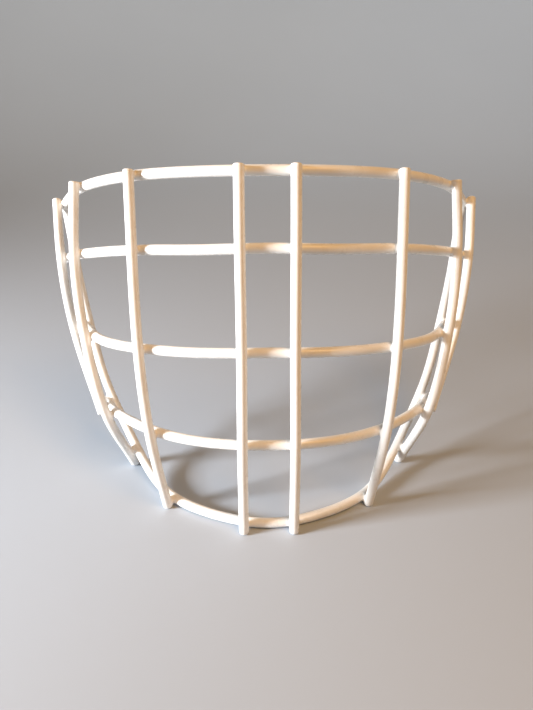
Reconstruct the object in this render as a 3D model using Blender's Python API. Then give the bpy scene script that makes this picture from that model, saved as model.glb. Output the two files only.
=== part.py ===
"""Wire face cage of an ice hockey goalie mask.

The cage is a rigid weldment of twelve bent steel wires with a white coat: one closed perimeter wire,
three cross bars whose ends lie outside its side runs, and eight vertical bars that lie outside them all.
Every crossing has its own weld. The cage stands on the lower ends of its front bars and leans back.
X points to the wearer's left, Y to the back of the head and Z up. The origin is on the resting plane,
under the middle of the cage. The dimensions are in millimetres, and become metres in add_solid.
"""

import math

import bmesh
import bpy
import numpy as np

MM = 0.001
WIRE_DIAMETER = 5.0
CLEARANCE = 0.3
LAYER_STEP = WIRE_DIAMETER + CLEARANCE
WIRE_SIDES = 10
PATH_SPACING = 7.0
END_CHAMFER = 0.7
WELD_INNER_RADIUS = 1.9
WELD_OUTER_RADIUS = 2.6
WELD_SIDES = 12
COAT_COLOUR = (0.82, 0.80, 0.76, 1.0)
COAT_ROUGHNESS = 0.3

# The middle of the cage from front to back, behind the front feet.
MIDDLE_Y = 61.0
# A point inside the cage, about which every wire bows outwards.
INSIDE = np.array([0.0, 95.0, 85.0])

# A station is (distance from the mirror plane, distance behind the front feet, height).
# Half of the perimeter wire: along the top, round the rear corner, down the side and along the chin.
PERIMETER_STATIONS = [
    (0, 40, 170.1),
    (33, 44, 168.9),
    (61.5, 55, 165.3),
    (91.5, 78, 156),
    (111.5, 111.5, 142),
    (116.7, 122, 135),
    (115.7, 119.5, 124),
    (112.2, 110, 101),
    (105, 95, 71.5),
    (94.5, 76, 42.5),
    (82.5, 61, 22.5),
    (69.5, 43.5, 8),
    (53.5, 23, 3.5),
    (28, 7.5, 2.8),
    (0, 1, 2.8),
]

# Half of each cross bar from its middle, and the height at which its end crosses the side run.
CROSS_BARS = {
    "upper": ([(0, 28, 138.8), (30.5, 31, 137.3), (58, 41, 134.3), (88.7, 62, 126.4), (107.6, 92, 115.2)], 107.5),
    "middle": ([(0, 14.5, 93.6), (30, 16.5, 92.8), (56, 24.5, 90.8), (83.5, 42.5, 87.2), (97.8, 68, 82)], 72.5),
    "lower": ([(0, 4, 49.3), (29.5, 7, 49.1), (56, 17.5, 48.5), (79, 37.5, 46)], 35.5),
}
CROSS_BAR_OVERHANG = 5.0

# Each vertical bar crosses these wires at these distances from the mirror plane, from the top down.
VERTICAL_BARS = {
    "centre": [("top", 12), ("upper", 12), ("middle", 12), ("lower", 12), ("chin", 11.4)],
    "inner": [("top", 60.3), ("upper", 59.8), ("middle", 58.7), ("lower", 55.4), ("chin", 50.5)],
    "outer": [("top", 91.6), ("upper", 93.5), ("middle", 89), ("lower", 81), ("chin", 75.2)],
    "rear": [("top", 115.8), ("upper", 111), ("middle", 105.5), ("lower", 86)],
}
FRONT_BAR_OVERHANG = 1.8
REAR_BAR_OVERHANGS = (3.4, 1.8)


def unit(vector):
    return vector / np.linalg.norm(vector)


def smooth_path(stations, closed=False):
    """Points along the natural cubic spline through the stations, and each station's place among them."""
    knots = np.array(stations, dtype=float)
    if closed:
        knots = np.vstack([knots[-4:], knots, knots[:5]])
    chords = np.linalg.norm(np.diff(knots, axis=0), axis=1)
    slopes = np.diff(knots, axis=0) / chords[:, None]
    system = np.eye(len(knots))
    bends = np.zeros_like(knots)
    for i in range(1, len(knots) - 1):
        system[i, i - 1 : i + 2] = (chords[i - 1], 2 * (chords[i - 1] + chords[i]), chords[i])
        bends[i] = 6 * (slopes[i] - slopes[i - 1])
    bends = np.linalg.solve(system, bends)
    spans = range(4, len(knots) - 5) if closed else range(len(knots) - 1)
    points = []
    places = []
    for i in spans:
        places.append(len(points))
        steps = math.ceil(chords[i] / PATH_SPACING)
        for along in np.arange(steps) / steps * chords[i]:
            rest = chords[i] - along
            arc = (bends[i] * rest**3 + bends[i + 1] * along**3) / (6 * chords[i])
            before = (knots[i] / chords[i] - bends[i] * chords[i] / 6) * rest
            after = (knots[i + 1] / chords[i] - bends[i + 1] * chords[i] / 6) * along
            points.append(arc + before + after)
    if not closed:
        places.append(len(points))
        points.append(knots[-1])
    return np.array(points), places


def point_at(path, axis, value):
    """The first point along the path whose coordinate on the axis has the value, and the tangent there."""
    for start, end in zip(path, path[1:]):
        if (start[axis] - value) * (end[axis] - value) <= 0 and start[axis] != end[axis]:
            share = (value - start[axis]) / (end[axis] - start[axis])
            return start + share * (end - start), unit(end - start)
    raise ValueError(f"no point at {value}")


def outward_normal(point, tangent, other_tangent):
    """The direction in which two crossing wires are stacked, away from the inside of the cage."""
    normal = unit(np.cross(tangent, other_tangent))
    return normal if normal @ (point - INSIDE) > 0 else -normal


def mirrored(points):
    return np.array(points, dtype=float) * (-1, 1, 1)


def lay_over(stations, under, head, tail):
    """A wire's path through the stations, laid on the outside of the wires under it.

    under gives, for each station where the wire crosses another one, that wire's point and tangent there.
    head and tail are how far the wire runs on past its first and last station. With no tail it runs on to
    the resting plane. The second result has a point, a normal and both tangents for each crossing.
    """
    stations = [np.array(station, dtype=float) for station in stations]
    last = len(stations) - 1
    tangents = {i: unit(stations[min(i + 1, last)] - stations[max(i - 1, 0)]) for i in under}
    for _ in range(3):
        for i, (point, tangent) in under.items():
            stations[i] = point + LAYER_STEP * outward_normal(point, tangent, tangents[i])
        start_slope = unit(stations[0] - stations[1])
        end_slope = unit(stations[-1] - stations[-2])
        run_on = tail if tail else -stations[-1][2] / end_slope[2]
        ends = (stations[0] + head * start_slope, stations[-1] + run_on * end_slope)
        path, places = smooth_path([ends[0], *stations, ends[1]])
        tangents = {i: unit(path[places[i + 1] + 1] - path[places[i + 1] - 1]) for i in under}
    welds = []
    for i, (point, tangent) in under.items():
        welds.append(((point + stations[i]) / 2, unit(stations[i] - point), tangent, tangents[i]))
    return path, welds


def tube(path, closed=False, on_plane=False):
    """Vertices and faces of a round wire along the path. A wire on the resting plane ends flat on it."""
    centres = [np.array(point) for point in path]
    if closed:
        tangents = [unit(path[(i + 1) % len(path)] - path[i - 1]) for i in range(len(path))]
        radii = [WIRE_DIAMETER / 2] * len(path)
    else:
        tangents = [unit(path[min(i + 1, len(path) - 1)] - path[max(i - 1, 0)]) for i in range(len(path))]
        centres.insert(1, centres[0] + END_CHAMFER * tangents[0])
        centres.insert(-1, centres[-1] - END_CHAMFER * tangents[-1])
        tangents = [tangents[0], *tangents, tangents[-1]]
        radii = [WIRE_DIAMETER / 2] * len(centres)
        radii[0] = radii[-1] = WIRE_DIAMETER / 2 - END_CHAMFER
    vertices = []
    for i, (centre, tangent, radius) in enumerate(zip(centres, tangents, radii)):
        outward = centre - INSIDE
        first = unit(outward - (outward @ tangent) * tangent)
        second = np.cross(tangent, first)
        for k in range(WIRE_SIDES):
            turn = 2 * math.pi * (k + 0.5) / WIRE_SIDES
            vertex = centre + radius * (math.cos(turn) * first + math.sin(turn) * second)
            if on_plane and i >= len(centres) - 2:
                vertex += tangent * (centre[2] - vertex[2]) / tangent[2]
            vertices.append(vertex)
    rings = len(centres)
    faces = []
    for i in range(rings if closed else rings - 1):
        for k in range(WIRE_SIDES):
            after = (k + 1) % WIRE_SIDES
            above = (i + 1) % rings * WIRE_SIDES
            faces.append((i * WIRE_SIDES + k, i * WIRE_SIDES + after, above + after, above + k))
    if not closed:
        faces.append(tuple(range(WIRE_SIDES)))
        faces.append(tuple(range((rings - 1) * WIRE_SIDES, rings * WIRE_SIDES)))
    return vertices, faces


def saddle(centre, normal, under_tangent, over_tangent):
    """Vertices and faces of a weld: a ring round the point of contact, hollowed to both wires' curves."""
    crossing_sine = np.linalg.norm(np.cross(under_tangent, over_tangent))
    hollow = WIRE_DIAMETER / 2 + CLEARANCE
    vertices = []
    for k in range(WELD_SIDES):
        turn = 2 * math.pi * k / WELD_SIDES
        for radius in (WELD_INNER_RADIUS, WELD_OUTER_RADIUS):
            from_under = radius * math.cos(turn)
            from_over = radius * math.sin(turn)
            place = centre + (from_under * over_tangent + from_over * under_tangent) / crossing_sine
            low = math.sqrt(hollow**2 - from_under**2) - LAYER_STEP / 2
            high = LAYER_STEP / 2 - math.sqrt(hollow**2 - from_over**2)
            vertices.append(place + low * normal)
            vertices.append(place + high * normal)
    faces = []
    for k in range(WELD_SIDES):
        here = 4 * k
        after = 4 * ((k + 1) % WELD_SIDES)
        for one, other in ((0, 1), (1, 3), (3, 2), (2, 0)):
            faces.append((here + one, here + other, after + other, after + one))
    return vertices, faces


def add_solid(name, vertices, faces, material):
    """A closed mesh object in metres, shaded smooth, with its faces pointing out."""
    mesh = bpy.data.meshes.new(name)
    shift = np.array((0, MIDDLE_Y, 0))
    mesh.from_pydata([tuple((vertex - shift) * MM) for vertex in vertices], [], faces)
    solid = bmesh.new()
    solid.from_mesh(mesh)
    bmesh.ops.recalc_face_normals(solid, faces=solid.faces)
    solid.to_mesh(mesh)
    solid.free()
    mesh.shade_smooth()
    mesh.set_sharp_from_angle(angle=math.radians(50))
    mesh.materials.append(material)
    bpy.context.collection.objects.link(bpy.data.objects.new(name, mesh))


def add_coat(name):
    """A material for one piece: the glossy white coat."""
    material = bpy.data.materials.new(name)
    material.use_nodes = True
    shader = material.node_tree.nodes["Principled BSDF"]
    shader.inputs["Base Color"].default_value = COAT_COLOUR
    shader.inputs["Roughness"].default_value = COAT_ROUGHNESS
    shader.inputs["Metallic"].default_value = 0.0
    return material


def add_weld(name, weld):
    add_solid(name, *saddle(*weld), add_coat(name))


def perimeter_wire():
    """The closed loop, with its half's top run and the run down its side and along the chin."""
    half = np.array(PERIMETER_STATIONS, dtype=float)
    path, places = smooth_path(np.vstack([half, mirrored(half)[-2:0:-1]]), closed=True)
    corner = int(np.argmax(path[:, 0]))
    return path, path[: corner + 1], path[corner : places[len(half) - 1] + 1]


def cross_bar(half_stations, end_height, side_run):
    """A cross bar whose two ends are laid over the side runs of the perimeter wire."""
    point, tangent = point_at(side_run, 2, end_height)
    half = np.array([*half_stations, point], dtype=float)
    stations = np.vstack([mirrored(half)[:0:-1], half])
    under = {0: (mirrored(point), mirrored(tangent)), len(stations) - 1: (point, tangent)}
    return lay_over(stations, under, CROSS_BAR_OVERHANG, CROSS_BAR_OVERHANG)


def vertical_bar(crossings, runs, head, tail):
    """A vertical bar laid over the wires that it crosses."""
    under = dict(enumerate(point_at(runs[wire], 0, distance) for wire, distance in crossings))
    return lay_over([point for point, tangent in under.values()], under, head, tail)


def build():
    for old in list(bpy.data.objects):
        bpy.data.objects.remove(old, do_unlink=True)
    loop, top_run, side_run = perimeter_wire()
    add_solid("perimeter_wire", *tube(loop, closed=True), add_coat("perimeter_wire"))
    runs = {"top": top_run, "chin": side_run}
    for bar, (half_stations, end_height) in CROSS_BARS.items():
        path, welds = cross_bar(half_stations, end_height, side_run)
        name = f"{bar}_cross_bar"
        add_solid(name, *tube(path), add_coat(name))
        add_weld(f"weld_right_end_{bar}", welds[0])
        add_weld(f"weld_left_end_{bar}", welds[1])
        runs[bar] = path[len(path) // 2 :]
    for bar, crossings in VERTICAL_BARS.items():
        head, tail = REAR_BAR_OVERHANGS if bar == "rear" else (FRONT_BAR_OVERHANG, None)
        path, welds = vertical_bar(crossings, runs, head, tail)
        for side, mirror in (("left", np.array), ("right", mirrored)):
            name = f"{side}_{bar}_bar"
            add_solid(name, *tube(mirror(path), on_plane=tail is None), add_coat(name))
            for (wire, distance), weld in zip(crossings, welds):
                add_weld(f"weld_{side}_{bar}_{wire}", [mirror(value) for value in weld])


build()
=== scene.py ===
"""Looks of the bare goalie mask cage: smooth coated wires and their welds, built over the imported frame.

Each wire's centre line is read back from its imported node, so the CAD settles every place and size.
Lengths are in metres.
"""

import math

import bpy
import numpy as np
from mathutils import Matrix, Vector


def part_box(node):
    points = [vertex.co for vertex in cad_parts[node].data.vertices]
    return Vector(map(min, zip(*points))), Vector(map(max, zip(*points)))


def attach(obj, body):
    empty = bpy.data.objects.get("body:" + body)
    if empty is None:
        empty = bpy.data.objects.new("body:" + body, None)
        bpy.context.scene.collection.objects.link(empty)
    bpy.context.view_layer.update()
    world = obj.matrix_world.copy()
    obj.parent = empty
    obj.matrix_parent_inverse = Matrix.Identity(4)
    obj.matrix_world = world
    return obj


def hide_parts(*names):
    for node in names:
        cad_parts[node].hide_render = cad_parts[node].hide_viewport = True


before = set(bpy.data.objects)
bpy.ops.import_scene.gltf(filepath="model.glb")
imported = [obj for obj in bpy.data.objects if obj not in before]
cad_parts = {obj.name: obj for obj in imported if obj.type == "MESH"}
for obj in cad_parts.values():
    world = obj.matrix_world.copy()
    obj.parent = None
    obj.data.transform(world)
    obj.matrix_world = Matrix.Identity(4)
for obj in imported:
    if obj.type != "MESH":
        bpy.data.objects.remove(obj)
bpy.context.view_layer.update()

MM = 0.001

# Wires
WIRE_RADIUS = 2.5 * MM
WIRE_SIDES = 24
RING_SPACING = 1.8 * MM
TOP_EDGE_RADIUS = 0.7 * MM
FOOT_EDGE_RADIUS = 1.5 * MM
EDGE_RINGS = 5
# The plain rings start this many edge radii away from each end, and lean over LEAN_REACH to a level foot.
TOP_EDGE_ROOM = 1.5
FOOT_EDGE_ROOM = 1.3
LEAN_REACH = 8 * MM
INSIDE = np.array((0, 34, 85)) * MM  # within the cage: each ring starts on the side away from it
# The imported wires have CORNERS_ROUND corners in a ring, and more than RING_GAP between two rings.
CORNERS_ROUND = 10
RING_GAP = 1.2 * MM
SAME = 0.01 * MM
ROUND_WITHIN = 0.05 * MM

# Welds: the coat fills the hollow where two wires cross, as far as FILLET_REACH from both.
# FILLET_SINK hides a bead's rim under the wires. NEAR limits the search for the wires round a weld.
FILLET_REACH = 2.2 * MM
FILLET_SIDES = 40
FILLET_RINGS = 12
FILLET_SINK = 0.25 * MM
FILLET_START = (0.3, 0.2, 1.0)
FIRST_GUESS = 0.9 * WIRE_RADIUS
RIM_TUCK = 0.01 * MM
SETTLE_ROUNDS = 30
LONGEST_MOVE = 0.4 * MM
SETTLED = 1e-4 * MM
NEAR = 14 * MM

# Camera and floor
FOCAL_LENGTH_MM = 29.07
CAMERA_PLACE = (-0.0044, -0.2796, 0.2148)
CAMERA_PITCH = math.radians(27.68)
CAMERA_YAW = math.radians(-0.76)
CAMERA_ROLL = math.radians(-0.49)
COVE_FLAT_RADIUS = 0.8
COVE_BEND_RADIUS = 1.5
COVE_HEIGHT = 2.6
COVE_SIDES = 96
COVE_BEND_STEPS = 16
FLOOR_DROP = 0.02 * MM

BARS = [
    "upper_cross_bar",
    "middle_cross_bar",
    "lower_cross_bar",
    *(f"{side}_{bar}_bar" for side in ("left", "right") for bar in ("centre", "inner", "outer", "rear")),
]


def unit(vector):
    return vector / np.linalg.norm(vector)


def units(vectors):
    return vectors / np.linalg.norm(vectors, axis=-1, keepdims=True)


# Centre lines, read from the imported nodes


def welded_corners(node):
    """The node's corners without doubles, and each corner's neighbours along the edges."""
    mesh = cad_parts[node].data
    corners = np.empty(len(mesh.vertices) * 3)
    mesh.vertices.foreach_get("co", corners)
    corners = corners.reshape(-1, 3)
    cells = list(map(tuple, np.round(corners / SAME).astype(int)))
    numbers = {}
    firsts = []
    for i, cell in enumerate(cells):
        if cell not in numbers:
            numbers[cell] = len(firsts)
            firsts.append(i)
    neighbours = [set() for _ in firsts]
    for polygon in mesh.polygons:
        ids = [numbers[cells[v]] for v in polygon.vertices]
        for one, other in zip(ids, ids[1:] + ids[:1]):
            neighbours[one].add(other)
            neighbours[other].add(one)
    return corners[firsts], neighbours


def spread(neighbours, rings):
    """Adds the rings of corners that follow, each the unseen neighbours of the one before."""
    seen = set().union(*rings)
    while following := set().union(*(neighbours[i] for i in rings[-1])) - seen:
        seen |= following
        rings.append(following)
    return rings


def loop_centres(node):
    """Centres of the rings along a closed wire, from its top in the mirror plane once round."""
    points, neighbours = welded_corners(node)
    high = points[:, 2] > points[:, 2].mean()
    first = set(np.flatnonzero(high & (np.abs(points[:, 0]) < ROUND_WITHIN)))
    around = set().union(*(neighbours[i] for i in first)) - first
    second = {i for i in around if points[i][0] > 0}
    rings = spread(neighbours, [around - second, first, second])
    return np.array([points[list(ring)].mean(axis=0) for ring in rings])


def nearest_on(starts, steps, places, lowest=0, highest=1):
    """The spans of a line nearest to the places, the shares along them, and the offsets from them."""
    shares = np.einsum("psk,sk->ps", places[:, None] - starts, steps) / (steps**2).sum(axis=1)
    shares = np.clip(shares, lowest, highest)
    offsets = places[:, None] - (starts + shares[..., None] * steps)
    spans = np.argmin((offsets**2).sum(axis=2), axis=1)
    rows = np.arange(len(places))
    return spans, shares[rows, spans], offsets[rows, spans]


def bar_centres(node):
    """Centres of the rings along an open wire, from its top or its right end to its other end."""
    points, neighbours = welded_corners(node)
    caps = []
    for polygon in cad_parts[node].data.polygons:
        centre = np.array(polygon.center)
        level = np.abs((points - centre) @ np.array(polygon.normal)) < SAME
        near = np.linalg.norm(points - centre, axis=1) < 2 * WIRE_RADIUS
        cap = set(np.flatnonzero(level & near))
        if len(cap) == CORNERS_ROUND and cap not in caps:
            caps.append(cap)
    axis, sign = (0, 1) if node.endswith("cross_bar") else (2, -1)
    caps.sort(key=lambda cap: sign * points[list(cap), axis].mean())
    rough = np.array([points[list(ring)].mean(axis=0) for ring in spread(neighbours, caps[:1])])
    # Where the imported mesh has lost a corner, neighbours mix two rings, so corners are sorted along the wire.
    steps = np.diff(rough, axis=0)
    lengths = np.linalg.norm(steps, axis=1)
    spans, shares, _ = nearest_on(rough[:-1], steps, points)
    along = (np.cumsum(lengths) - lengths)[spans] + shares * lengths[spans]
    order = np.argsort(along)
    groups = np.split(order, np.flatnonzero(np.diff(along[order]) > RING_GAP) + 1)
    centres = [points[list(caps[0])].mean(axis=0)]
    for group in groups:
        centre = points[group].mean(axis=0)
        off_round = np.abs(np.linalg.norm(points[group] - centre, axis=1) - WIRE_RADIUS).max()
        if len(group) == CORNERS_ROUND and off_round < ROUND_WITHIN:
            centres.append(centre)
    centres.append(points[list(caps[1])].mean(axis=0))
    return np.array(centres)


def smooth_line(centres, closed=False):
    """Points on the natural cubic spline through the centres, evenly spaced along it."""
    knots = np.vstack([centres[-4:], centres, centres[:5]]) if closed else centres
    chords = np.linalg.norm(np.diff(knots, axis=0), axis=1)
    slopes = np.diff(knots, axis=0) / chords[:, None]
    system = np.eye(len(knots))
    bends = np.zeros_like(knots)
    for i in range(1, len(knots) - 1):
        system[i, i - 1 : i + 2] = (chords[i - 1], 2 * (chords[i - 1] + chords[i]), chords[i])
        bends[i] = 6 * (slopes[i] - slopes[i - 1])
    bends = np.linalg.solve(system, bends)
    points = []
    for i in range(4, len(knots) - 5) if closed else range(len(knots) - 1):
        steps = max(2, round(chords[i] / RING_SPACING))
        along = (np.arange(steps) / steps * chords[i])[:, None]
        rest = chords[i] - along
        arc = (bends[i] * rest**3 + bends[i + 1] * along**3) / (6 * chords[i])
        before = (knots[i] / chords[i] - bends[i] * chords[i] / 6) * rest
        after = (knots[i + 1] / chords[i] - bends[i + 1] * chords[i] / 6) * along
        points.extend(arc + before + after)
    if not closed:
        points.append(knots[-1])
    return np.array(points)


# Wires


class Wire:
    """A round wire along a smooth line, with rounded edges at its cut ends.

    Wires that end on the floor are cut level there, and the others square.
    """

    def __init__(self, node):
        self.closed = node == "perimeter_wire"
        self.line = smooth_line(loop_centres(node) if self.closed else bar_centres(node), self.closed)
        if self.closed:
            self.starts = self.line
            self.steps = np.roll(self.line, -1, axis=0) - self.line
            slopes = np.roll(self.line, -1, axis=0) - np.roll(self.line, 1, axis=0)
        else:
            self.starts = self.line[:-1]
            self.steps = np.diff(self.line, axis=0)
            slopes = np.gradient(self.line, axis=0)
        self.tangents = units(slopes)
        self.lowest = np.zeros(len(self.starts))
        self.highest = np.ones(len(self.starts))
        self.ends = []
        if not self.closed:
            self.lowest[0] = -np.inf
            self.highest[-1] = np.inf
            stands = self.line[-1][2] < 1 * MM
            foot = np.array((0.0, 0.0, -1.0)) if stands else self.tangents[-1]
            foot_edge = FOOT_EDGE_RADIUS if stands else TOP_EDGE_RADIUS
            self.ends = [
                (self.line[0], -self.tangents[0], TOP_EDGE_RADIUS),
                (self.line[-1], foot, foot_edge),
            ]

    def spans_near(self, place):
        return np.flatnonzero(np.linalg.norm(self.starts - place, axis=1) < NEAR)

    def distances(self, places, spans):
        """How far outside the wire's surface the places are, and the directions that lead away."""
        _, _, offsets = nearest_on(
            self.starts[spans], self.steps[spans], places, self.lowest[spans], self.highest[spans]
        )
        heights = np.linalg.norm(offsets, axis=1) - WIRE_RADIUS
        ways = units(offsets)
        for end, outward, edge in self.ends:
            beyond = (places - end) @ outward + edge
            around = heights + edge
            corner = np.hypot(around, beyond)
            both = (beyond > 0) & (around > 0)
            only = (beyond > 0) & (around <= 0)
            mixed = (around[:, None] * ways + beyond[:, None] * outward) / corner[:, None]
            ways = np.where(both[:, None], mixed, np.where(only[:, None], outward, ways))
            heights = np.where(both, corner - edge, np.where(only, beyond - edge, heights))
        return heights, ways

    def ring(self, centre, tangent, radius, lean):
        """Corners round the wire. Lean turns the ring from square across it, at 0, to level, at 1."""
        start = centre - INSIDE
        first = unit(start - (start @ tangent) * tangent)
        second = np.cross(tangent, first)
        turns = 2 * math.pi * np.arange(WIRE_SIDES) / WIRE_SIDES
        offsets = radius * (np.cos(turns)[:, None] * first + np.sin(turns)[:, None] * second)
        if lean:
            offsets = offsets - lean * (offsets[:, 2] / tangent[2])[:, None] * tangent
        return centre + offsets

    def rings(self):
        if self.closed:
            return [self.ring(*place, WIRE_RADIUS, 0) for place in zip(self.line, self.tangents)]
        lengths = np.append(0, np.cumsum(np.linalg.norm(np.diff(self.line, axis=0), axis=1)))
        (_, _, top_edge), (_, foot, foot_edge) = self.ends
        level = 1.0 if foot[2] == -1 else 0.0
        slant = abs(foot @ self.tangents[-1])
        turns = [math.pi / 2 * i / EDGE_RINGS for i in range(EDGE_RINGS + 1)]
        found = []
        for turn in turns:
            centre = self.line[0] + top_edge * (1 - math.cos(turn)) * self.tangents[0]
            radius = WIRE_RADIUS - top_edge * (1 - math.sin(turn))
            found.append(self.ring(centre, self.tangents[0], radius, 0))
        for centre, tangent, length in zip(self.line, self.tangents, lengths):
            left = lengths[-1] - length
            if length > TOP_EDGE_ROOM * top_edge and left > FOOT_EDGE_ROOM * foot_edge / slant:
                lean = level * max(0, 1 - left / LEAN_REACH)
                found.append(self.ring(centre, tangent, WIRE_RADIUS, lean))
        for turn in reversed(turns):
            centre = self.line[-1] - foot_edge * (1 - math.cos(turn)) / slant * self.tangents[-1]
            radius = WIRE_RADIUS - foot_edge * (1 - math.sin(turn))
            found.append(self.ring(centre, self.tangents[-1], radius, level))
        return found


def tube_mesh(rings, closed=False, hubs=None):
    """Vertices and faces through the rings, closed at both ends by a fan to its hub."""
    sides = len(rings[0])
    vertices = [tuple(corner) for ring in rings for corner in ring]
    faces = []
    for i in range(len(rings) if closed else len(rings) - 1):
        here = i * sides
        above = (i + 1) % len(rings) * sides
        for k in range(sides):
            after = (k + 1) % sides
            faces.append((here + k, here + after, above + after, above + k))
    if not closed:
        hubs = hubs or (np.mean(rings[0], axis=0), np.mean(rings[-1], axis=0))
        last = (len(rings) - 1) * sides
        for k in range(sides):
            after = (k + 1) % sides
            faces.append((after, k, len(vertices)))
            faces.append((last + k, last + after, len(vertices) + 1))
        vertices.extend(tuple(hub) for hub in hubs)
    return vertices, faces


# Welds


def nearest_places(one, other, place):
    """The nearest points of two wires near a place, each on its own centre line."""
    i = int(np.argmin(np.linalg.norm(one.line - place, axis=1)))
    for _ in range(4):
        j = int(np.argmin(np.linalg.norm(other.line - one.line[i], axis=1)))
        i = int(np.argmin(np.linalg.norm(one.line - other.line[j], axis=1)))
    start, tangent = one.line[i], one.tangents[i]
    far_start, far_tangent = other.line[j], other.tangents[j]
    between = far_start - start
    mixed = tangent @ far_tangent
    share = (between @ tangent - (between @ far_tangent) * mixed) / (1 - mixed * mixed)
    far_share = ((between @ tangent) * mixed - between @ far_tangent) / (1 - mixed * mixed)
    return start + share * tangent, far_start + far_share * far_tangent


def bead_rings(one, other, place):
    """Rings over the smooth hollow between two wires, from one to the other, with normals and hubs."""
    near, far = nearest_places(one, other, place)
    middle = (near + far) / 2
    normal = unit(far - near)
    across = unit(np.cross(normal, FILLET_START))
    spans = one.spans_near(place)
    far_spans = other.spans_near(place)
    turns = 2 * math.pi * np.arange(FILLET_SIDES) / FILLET_SIDES
    out = np.cos(turns)[:, None] * across + np.sin(turns)[:, None] * np.cross(normal, across)
    sideways = np.cross(normal, out)

    def settle(places, lean):
        """Moves the places onto the ring where the heights over the wires differ by lean reaches."""
        fill = (1 - abs(lean)) ** 2 * FILLET_REACH / 4
        over_one = fill + max(lean, 0) * FILLET_REACH
        over_other = fill + max(-lean, 0) * FILLET_REACH
        for _ in range(SETTLE_ROUNDS):
            height, way = one.distances(places, spans)
            far_height, far_way = other.distances(places, far_spans)
            misses = np.stack(
                [height - over_one, far_height - over_other, ((places - middle) * sideways).sum(axis=1)],
                axis=1,
            )
            pulls = np.stack([way, far_way, sideways], axis=1)
            moves = np.linalg.solve(pulls + 1e-6 * np.eye(3), misses[..., None])[..., 0]
            sizes = np.linalg.norm(moves, axis=1, keepdims=True)
            places = places - moves * np.minimum(1, LONGEST_MOVE / np.maximum(sizes, 1e-12))
            if sizes.max() < SETTLED:
                break
        return places, units((1 - lean) / 2 * way + (1 + lean) / 2 * far_way)

    leans = np.linspace(0, 1, FILLET_RINGS // 2 + 1)
    start = settle(middle + FIRST_GUESS * out, 0)
    found = {0.0: start}
    for sign in (-1, 1):
        places = start[0]
        for lean in leans[1:]:
            found[sign * lean] = settle(places, sign * lean)
            places = found[sign * lean][0]
    ordered = [found[lean] for lean in sorted(found)]
    rings = [places for places, _ in ordered]
    normals = [normal for _, normal in ordered]
    for end in (0, -1):
        rings[end] = rings[end] - RIM_TUCK * normals[end]
    rings = [rings[0] - FILLET_SINK * normals[0], *rings, rings[-1] - FILLET_SINK * normals[-1]]
    normals = [normals[0], *normals, normals[-1]]
    return rings, normals, (near, far)


# Pieces


def new_piece(name, mesh_data, material, slot, *nodes, normals=None):
    """A smooth piece that stands for its CAD nodes and rides on the cage's only body."""
    mesh = bpy.data.meshes.new(name)
    mesh.from_pydata(mesh_data[0], [], mesh_data[1])
    mesh.validate()
    mesh.shade_smooth()
    if normals is not None:
        mesh.normals_split_custom_set_from_vertices([tuple(normal) for normal in normals])
    mesh.materials.append(material)
    piece = bpy.data.objects.new(name, mesh)
    bpy.context.scene.collection.objects.link(piece)
    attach(piece, "root")
    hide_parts(*nodes)
    return piece


# Materials


def coat_material(name):
    """Glossy white dip coat: faintly uneven in shade and gloss, with a fine orange-peel surface."""
    material = bpy.data.materials.new(name)
    material.use_nodes = True
    nodes = material.node_tree.nodes
    links = material.node_tree.links
    nodes.clear()
    output = nodes.new("ShaderNodeOutputMaterial")
    shader = nodes.new("ShaderNodeBsdfPrincipled")
    shader.inputs["IOR"].default_value = 1.5
    links.new(shader.outputs["BSDF"], output.inputs["Surface"])
    place = nodes.new("ShaderNodeTexCoord").outputs["Object"]

    def noise(scale, detail):
        node = nodes.new("ShaderNodeTexNoise")
        node.inputs["Scale"].default_value = scale
        node.inputs["Detail"].default_value = detail
        links.new(place, node.inputs["Vector"])
        return node.outputs["Fac"]

    def ramp(source, *stops):
        node = nodes.new("ShaderNodeValToRGB")
        for element, (at, colour) in zip(node.color_ramp.elements, stops):
            element.position = at
            element.color = (*colour, 1)
        links.new(source, node.inputs["Fac"])
        return node.outputs["Color"]

    shade = ramp(noise(55, 3), (0.35, (0.83, 0.815, 0.785)), (0.7, (0.88, 0.87, 0.845)))
    links.new(shade, shader.inputs["Base Color"])
    gloss = ramp(noise(140, 4), (0.3, (0.24, 0.24, 0.24)), (0.75, (0.36, 0.36, 0.36)))
    links.new(gloss, shader.inputs["Roughness"])
    bump = nodes.new("ShaderNodeBump")
    bump.inputs["Strength"].default_value = 0.12
    bump.inputs["Distance"].default_value = 0.0002
    links.new(noise(900, 2), bump.inputs["Height"])
    links.new(bump.outputs["Normal"], shader.inputs["Normal"])
    return material


def floor_material():
    material = bpy.data.materials.new("studio_floor")
    material.use_nodes = True
    nodes = material.node_tree.nodes
    links = material.node_tree.links
    shader = nodes["Principled BSDF"]
    shader.inputs["Roughness"].default_value = 0.7
    place = nodes.new("ShaderNodeTexCoord").outputs["Object"]
    noise = nodes.new("ShaderNodeTexNoise")
    noise.inputs["Scale"].default_value = 3.0
    links.new(place, noise.inputs["Vector"])
    ramp = nodes.new("ShaderNodeValToRGB")
    ramp.color_ramp.elements[0].color = (0.40, 0.45, 0.52, 1)
    ramp.color_ramp.elements[1].color = (0.43, 0.48, 0.55, 1)
    links.new(noise.outputs["Fac"], ramp.inputs["Fac"])
    links.new(ramp.outputs["Color"], shader.inputs["Base Color"])
    return material


coat = coat_material("white_coat")

wires = {node: Wire(node) for node in ["perimeter_wire", *BARS]}
for node, wire in wires.items():
    slot = {"perimeter_wire": "perimeter_coat"}.get(
        node, "cross_bar_coat" if node.endswith("cross_bar") else "vertical_bar_coat"
    )
    new_piece(node + "_coated", tube_mesh(wire.rings(), wire.closed), coat, slot, node)

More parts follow.
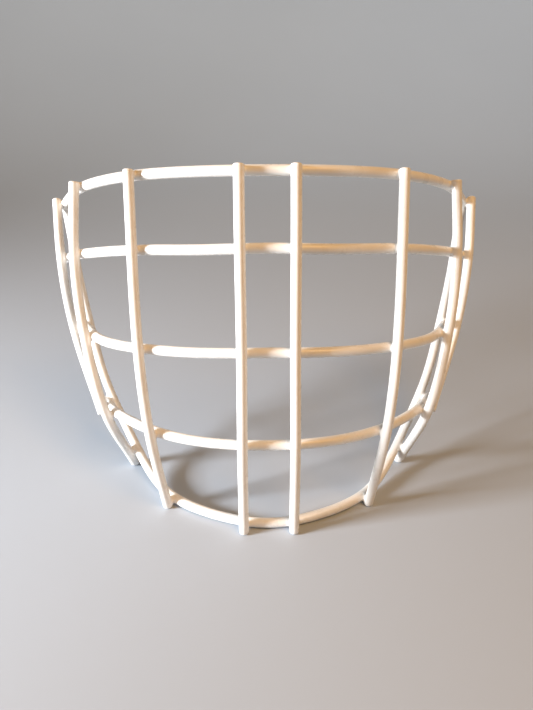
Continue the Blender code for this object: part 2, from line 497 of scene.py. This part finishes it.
for node in sorted(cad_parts):
    if not node.startswith("weld_"):
        continue
    low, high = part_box(node)
    place = (np.array(low) + np.array(high)) / 2
    reach = {name: np.linalg.norm(wire.line - place, axis=1).min() for name, wire in wires.items()}
    one, other = sorted(reach, key=reach.get)[:2]
    rings, normals, hubs = bead_rings(wires[one], wires[other], place)
    mesh_data = tube_mesh(rings, hubs=hubs)
    directions = np.vstack([*normals, hubs[0] - hubs[1], hubs[1] - hubs[0]])
    new_piece(node + "_bead", mesh_data, coat, "weld_coat", node, normals=units(directions))

# Floor, lights and camera


def area_light(name, place, aim, size, power, colour, spread=180):
    light = bpy.data.lights.new(name, "AREA")
    light.shape = "RECTANGLE"
    light.size, light.size_y = size
    light.energy = power
    light.spread = math.radians(spread)
    light.color = colour
    lamp = bpy.data.objects.new(name, light)
    bpy.context.scene.collection.objects.link(lamp)
    lamp.location = place
    lamp.visible_camera = False
    lamp.rotation_euler = (Vector(aim) - Vector(place)).to_track_quat("-Z", "Y").to_euler()


def cove_mesh():
    """Vertices and faces of a round floor that curves up into a wall."""
    arc = [math.pi / 2 * i / COVE_BEND_STEPS for i in range(COVE_BEND_STEPS + 1)]
    profile = [(0.3, 0.0)]
    for turn in arc:
        radius = COVE_FLAT_RADIUS + COVE_BEND_RADIUS * math.sin(turn)
        profile.append((radius, COVE_BEND_RADIUS * (1 - math.cos(turn))))
    profile.append((COVE_FLAT_RADIUS + COVE_BEND_RADIUS, COVE_HEIGHT))
    rings = []
    for radius, height in profile:
        turns = [2 * math.pi * k / COVE_SIDES for k in range(COVE_SIDES)]
        rings.append([(radius * math.cos(turn), radius * math.sin(turn), height) for turn in turns])
    vertices = [corner for ring in rings for corner in ring]
    faces = [tuple(range(COVE_SIDES))]
    for i in range(len(rings) - 1):
        here = i * COVE_SIDES
        above = here + COVE_SIDES
        for k in range(COVE_SIDES):
            after = (k + 1) % COVE_SIDES
            faces.append((here + k, above + k, above + after, here + after))
    return vertices, faces


floor_vertices, floor_faces = cove_mesh()
floor_mesh = bpy.data.meshes.new("studio_floor")
floor_mesh.from_pydata(floor_vertices, [], floor_faces)
floor_mesh.shade_smooth()
floor_mesh.materials.append(floor_material())
floor = bpy.data.objects.new("studio_floor", floor_mesh)
floor.location.z = -FLOOR_DROP
bpy.context.scene.collection.objects.link(floor)

middle_of_cage = (0, 0, 0.09)
area_light("window_light", (-0.85, -0.3, 0.3), middle_of_cage, (0.2, 0.2), 5.5, (0.96, 0.98, 1.0), 95)
area_light("warm_light", (0.35, -0.55, 1.1), middle_of_cage, (0.5, 0.5), 8.5, (1.0, 0.55, 0.2))
area_light("wall_light", (0, 0.8, 1.5), (0, 2.4, 0.7), (2.0, 0.8), 22, (1.0, 0.93, 0.84))

world = bpy.data.worlds.new("studio_world")
world.use_nodes = True
background = world.node_tree.nodes["Background"]
background.inputs["Color"].default_value = (1.0, 0.72, 0.46, 1)
background.inputs["Strength"].default_value = 0.12
bpy.context.scene.world = world
bpy.context.scene.view_settings.view_transform = "Standard"

camera_data = bpy.data.cameras.new("photo_camera")
camera_data.lens = FOCAL_LENGTH_MM
camera_data.sensor_width = 36
camera_data.clip_start = 0.01
camera = bpy.data.objects.new("photo_camera", camera_data)
bpy.context.scene.collection.objects.link(camera)
yaw, pitch, roll = CAMERA_YAW, CAMERA_PITCH, CAMERA_ROLL
forward = Vector((-math.sin(yaw), math.cos(yaw) * math.cos(pitch), -math.cos(yaw) * math.sin(pitch)))
level = Vector((math.cos(yaw), math.sin(yaw) * math.cos(pitch), -math.sin(yaw) * math.sin(pitch)))
upright = Vector((0, math.sin(pitch), math.cos(pitch)))
right = math.cos(roll) * level + math.sin(roll) * upright
up = -math.sin(roll) * level + math.cos(roll) * upright
camera.matrix_world = Matrix.Translation(CAMERA_PLACE) @ Matrix((right, up, -forward)).transposed().to_4x4()
bpy.context.scene.camera = camera
